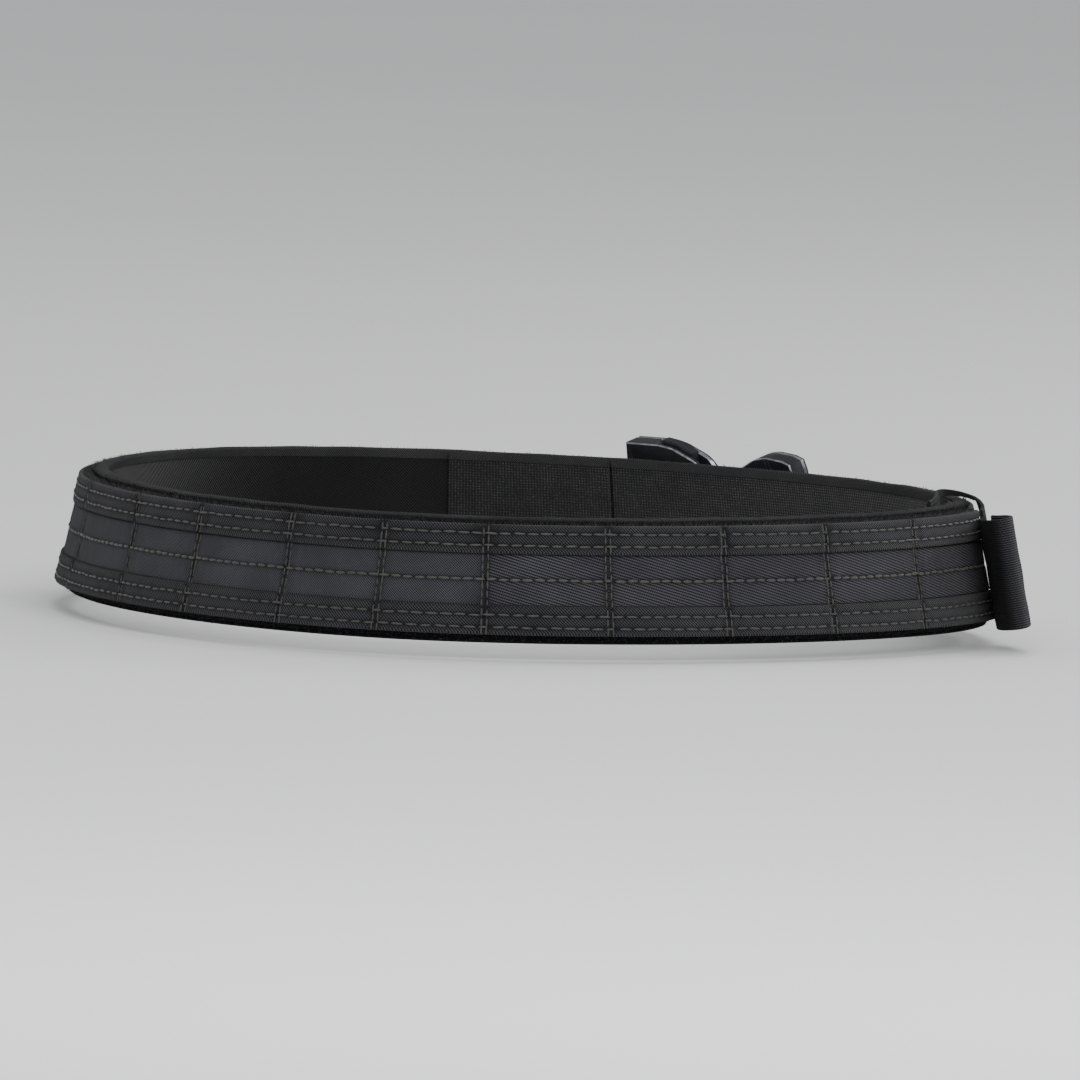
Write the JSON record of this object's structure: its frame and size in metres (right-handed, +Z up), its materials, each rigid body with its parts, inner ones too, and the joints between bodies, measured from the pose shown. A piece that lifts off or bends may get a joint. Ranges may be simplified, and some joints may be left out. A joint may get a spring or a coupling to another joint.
{
  "type": "two-layer load belt",
  "caption": "Closed two-layer webbing belt with sewn channels, hook-and-loop inner belt, pull loop and two-lever metal buckle.",
  "frame": {"origin": "middle of the box under the belt, on the surface it stands on", "axes": "+Z up along the hoop's height, +Y towards the buckle, +X towards the pull loop"},
  "size_m": [0.3098, 0.3108, 0.0517],
  "materials": {
    "black_webbing": "woven nylon webbing",
    "black_hook_and_loop": "fuzzy hook and loop pile",
    "grey_twill": "fine 45 degree twill",
    "grey_webbing": "ribbed nylon webbing",
    "gunmetal": "satin anodised gunmetal with bright edges",
    "steel": "brushed steel"
  },
  "bodies": {
    "inner_belt": {"inner_belt_core": "black_webbing", "inner_loop_face": "black_hook_and_loop", "inner_lining": "black_webbing", "inner_lower_binding": "black_hook_and_loop", "inner_upper_binding": "black_hook_and_loop", "inner_lap_lining": "black_hook_and_loop"},
    "overlap_flap": {"inner_overlap_flap": "black_hook_and_loop"},
    "outer_belt": {"outer_hook_lining": "black_hook_and_loop", "outer_belt_core": "black_webbing", "lower_edge_band": "grey_twill", "upper_edge_band": "grey_twill", "centre_band": "grey_webbing", "end_tab": "black_webbing", "left_front_strap": "black_webbing", "right_front_strap": "black_webbing", "female_body": "gunmetal", "female_cover": "gunmetal", "left_strap_bar": "steel", "rear_upper_screw": "steel", "rear_lower_screw": "steel", "nose_upper_screw": "steel", "nose_lower_screw": "steel", "upper_lever_pin": "steel", "lower_lever_pin": "steel"},
    "pull_loop": {"pull_loop": "grey_webbing"},
    "strap_tail": {"strap_tail": "black_webbing"},
    "upper_lever": {"upper_lever": "gunmetal", "upper_catch": "steel", "upper_lever_spring": "steel"},
    "lower_lever": {"lower_lever": "gunmetal", "lower_catch": "steel", "lower_lever_spring": "steel"},
    "buckle_male": {"male_body": "gunmetal", "male_cover": "gunmetal", "right_strap_bar": "steel", "male_upper_screw": "steel", "male_lower_screw": "steel"}
  },
  "joints": [
    {"name": "outer_belt_lift", "type": "slide", "parent": "inner_belt", "child": "outer_belt", "axis": [0, 0, 1], "range_m": [0, 0.06]},
    {"name": "overlap_flap_peel", "type": "hinge", "parent": "inner_belt", "child": "overlap_flap", "pos_m": [0.02163, 0.12953, 0.02487], "axis": [-0.0804, -0.1806, 0.9803], "range_deg": [0, 20]},
    {"name": "pull_loop_swing", "type": "hinge", "parent": "outer_belt", "child": "pull_loop", "pos_m": [0.14432, -0.02261, 0.02555], "axis": [-0.1947, 0.0343, 0.9803], "range_deg": [0, 30]},
    {"name": "strap_tail_peel", "type": "hinge", "parent": "outer_belt", "child": "strap_tail", "pos_m": [0.0906, 0.09188, 0.02487], "axis": [-0.1398, -0.1398, 0.9803], "range_deg": [0, 30]},
    {"name": "upper_lever_press", "type": "hinge", "parent": "outer_belt", "child": "upper_lever", "pos_m": [0.04578, 0.12593, 0.03861], "axis": [-0.5411, -0.8174, -0.1977], "range_deg": [0, 5], "stiffness_Nm_per_rad": 0.5},
    {"name": "lower_lever_press", "type": "hinge", "parent": "outer_belt", "child": "lower_lever", "pos_m": [0.04862, 0.13022, 0.01312], "axis": [0.5411, 0.8174, 0.1977], "range_deg": [0, 5], "stiffness_Nm_per_rad": 0.5},
    {"name": "buckle_pull", "type": "slide", "parent": "outer_belt", "child": "buckle_male", "axis": [0.8339, -0.5519, 0], "range_m": [0, 0.01], "deforming": ["right_front_strap", "upper_catch", "lower_catch"]}
  ]
}
